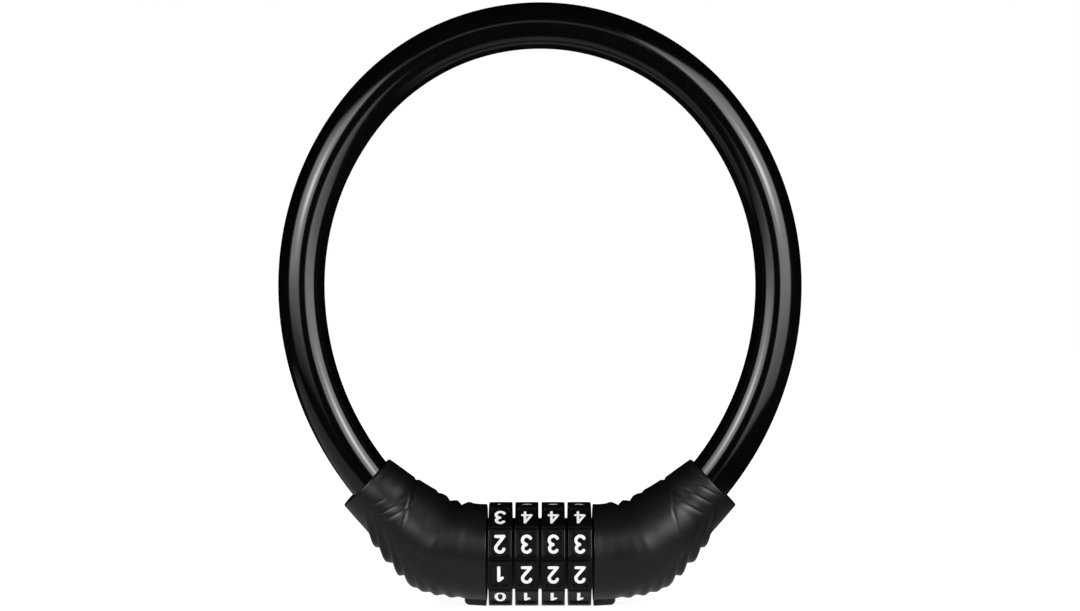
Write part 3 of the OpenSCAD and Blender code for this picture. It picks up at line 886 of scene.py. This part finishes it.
bpy.ops.mesh.primitive_plane_add(size=6.0, location=(0, 0, 0))
floor = bpy.context.object
floor.name = "stage_floor"
floor.data.materials.append(stage_material())


# ---------------------------------------------------------------- light

def studio_world(fill):
    """White to the camera, even fill for matt surfaces, and a dark room for reflections."""
    world = bpy.data.worlds.new("studio")
    scene.world = world
    world.use_nodes = True
    tree = world.node_tree
    background = tree.nodes["Background"]
    path = add_node(tree, "LightPath").outputs
    matt = math_node(tree, "SUBTRACT", 1.0, path["Is Glossy Ray"])
    strength = math_node(tree, "MAXIMUM", math_node(tree, "MULTIPLY", matt, fill),
                         path["Is Camera Ray"])
    tree.links.new(strength, background.inputs["Strength"])
    background.inputs["Color"].default_value = (1, 1, 1, 1)


studio_world(fill=0.80)

HOT_X, HOT_Y = 0.034, 0.026      # spread of a diffuser's hot patch, across and up
DIFFUSE_CUT = 0.75               # share of a diffuser's light kept from matt surfaces


def softbox_material(name, width, bottom, height, levels, hot_z, hot, edge):
    material, tree, out = empty_material(name)
    emission = add_node(tree, "Emission")
    coords = add_node(tree, "TexCoord")
    split = add_node(tree, "SeparateXYZ", {0: coords.outputs["Object"]})
    x, y = split.outputs["X"], split.outputs["Y"]
    ramp = add_node(tree, "ValToRGB")
    up = add_node(tree, "MapRange", {"From Min": -height / 2, "From Max": height / 2, "Value": y})
    tree.links.new(up.outputs["Result"], ramp.inputs["Fac"])
    stops = ramp.color_ramp.elements
    while len(stops) > 1:
        stops.remove(stops[-1])
    brightest = max(level for _, level in levels)
    for i, (z, level) in enumerate(levels):
        place, grey = (z - bottom) / height, level / brightest
        stop = stops[0] if i == 0 else stops.new(place)
        stop.position = place
        stop.color = (grey, grey, grey, 1)

    def maths(operation, *values):
        return math_node(tree, operation, *values)

    sides = maths("MULTIPLY", step_node(tree, x, zero=-width / 2, one=-width / 2 + edge),
                  step_node(tree, x, zero=width / 2, one=width / 2 - edge))
    base = maths("MULTIPLY", maths("MULTIPLY", ramp.outputs["Color"], sides), brightest)
    hot_x = maths("DIVIDE", x, HOT_X)
    hot_y = maths("DIVIDE", maths("SUBTRACT", y, hot_z - (bottom + height / 2)), HOT_Y)
    squared = maths("ADD", maths("MULTIPLY", hot_x, hot_x), maths("MULTIPLY", hot_y, hot_y))
    spot = maths("MULTIPLY", maths("EXPONENT", maths("MULTIPLY", squared, -1.0)), hot)
    total = maths("ADD", base, spot)
    path = add_node(tree, "LightPath").outputs
    kept = maths("SUBTRACT", 1.0, maths("MULTIPLY", path["Is Diffuse Ray"], DIFFUSE_CUT))
    tree.links.new(maths("MULTIPLY", total, kept), emission.inputs["Strength"])
    tree.links.new(emission.outputs[0], out.inputs["Surface"])
    return material


def softbox(name, start, end, levels, hot_z, hot, edge=0.035):
    """A near diffuser that stands between two points (x, y).

    levels is its (height, radiance) from bottom to top; hot_z is its hot patch's height and
    hot the patch's radiance; edge is the width over which its sides fade.
    """
    start, end = np.array(start), np.array(end)
    middle = (start + end) / 2
    width = float(np.linalg.norm(end - start))
    bottom, top = levels[0][0], levels[-1][0]
    height = top - bottom
    bm = bmesh.new()
    for x, y in ((-1, -1), (1, -1), (1, 1), (-1, 1)):
        bm.verts.new((x * width / 2, y * height / 2, 0))
    bm.faces.new(bm.verts)
    mesh = bpy.data.meshes.new(name)
    bm.to_mesh(mesh)
    bm.free()
    mesh.materials.append(softbox_material(name, width, bottom, height, levels, hot_z, hot, edge))
    obj = bpy.data.objects.new(name, mesh)
    scene.collection.objects.link(obj)
    across = Vector((*(end - start), 0)).normalized()
    upward = Vector((0, 0, 1))
    turn = Matrix((across, upward, across.cross(upward))).transposed().to_4x4()
    place = Vector((middle[0], middle[1], (bottom + top) / 2))
    obj.matrix_world = Matrix.Translation(place) @ turn
    obj.visible_camera = False
    obj.visible_shadow = False


softbox("soft_left", start=(-0.085, -0.305), end=(-0.224, -0.092), hot_z=0.147, hot=12.0,
        levels=[(0.015, 0.0), (0.055, 0.8), (0.085, 2.4), (0.10, 4.0), (0.19, 4.2),
                (0.222, 1.7), (0.240, 0.0)])
softbox("soft_right", start=(0.068, -0.331), end=(0.224, -0.092), hot_z=0.156, hot=14.0,
        levels=[(0.002, 0.9), (0.016, 1.3), (0.055, 2.2), (0.085, 3.8), (0.16, 4.8),
                (0.225, 4.3), (0.285, 2.2), (0.310, 0.0)])
softbox("soft_front", start=(-0.115, -0.335), end=(0.100, -0.335), hot_z=0.226, hot=0.0,
        levels=[(0.190, 0.0), (0.212, 0.55), (0.244, 0.55), (0.262, 0.0)], edge=0.05)


# ---------------------------------------------------------------- camera

camera_data = bpy.data.cameras.new("camera")
camera_data.lens = 64.0
camera_data.sensor_width = 36.0
camera_data.clip_start = 0.01
camera = bpy.data.objects.new("camera", camera_data)
scene.collection.objects.link(camera)
camera.location = (0.0, -0.5, 0.0778)
camera.rotation_euler = (math.radians(90), 0, 0)
scene.camera = camera

scene.view_settings.view_transform = "Standard"
scene.view_settings.look = "None"
scene.cycles.max_bounces = 8
scene.cycles.use_denoising = True
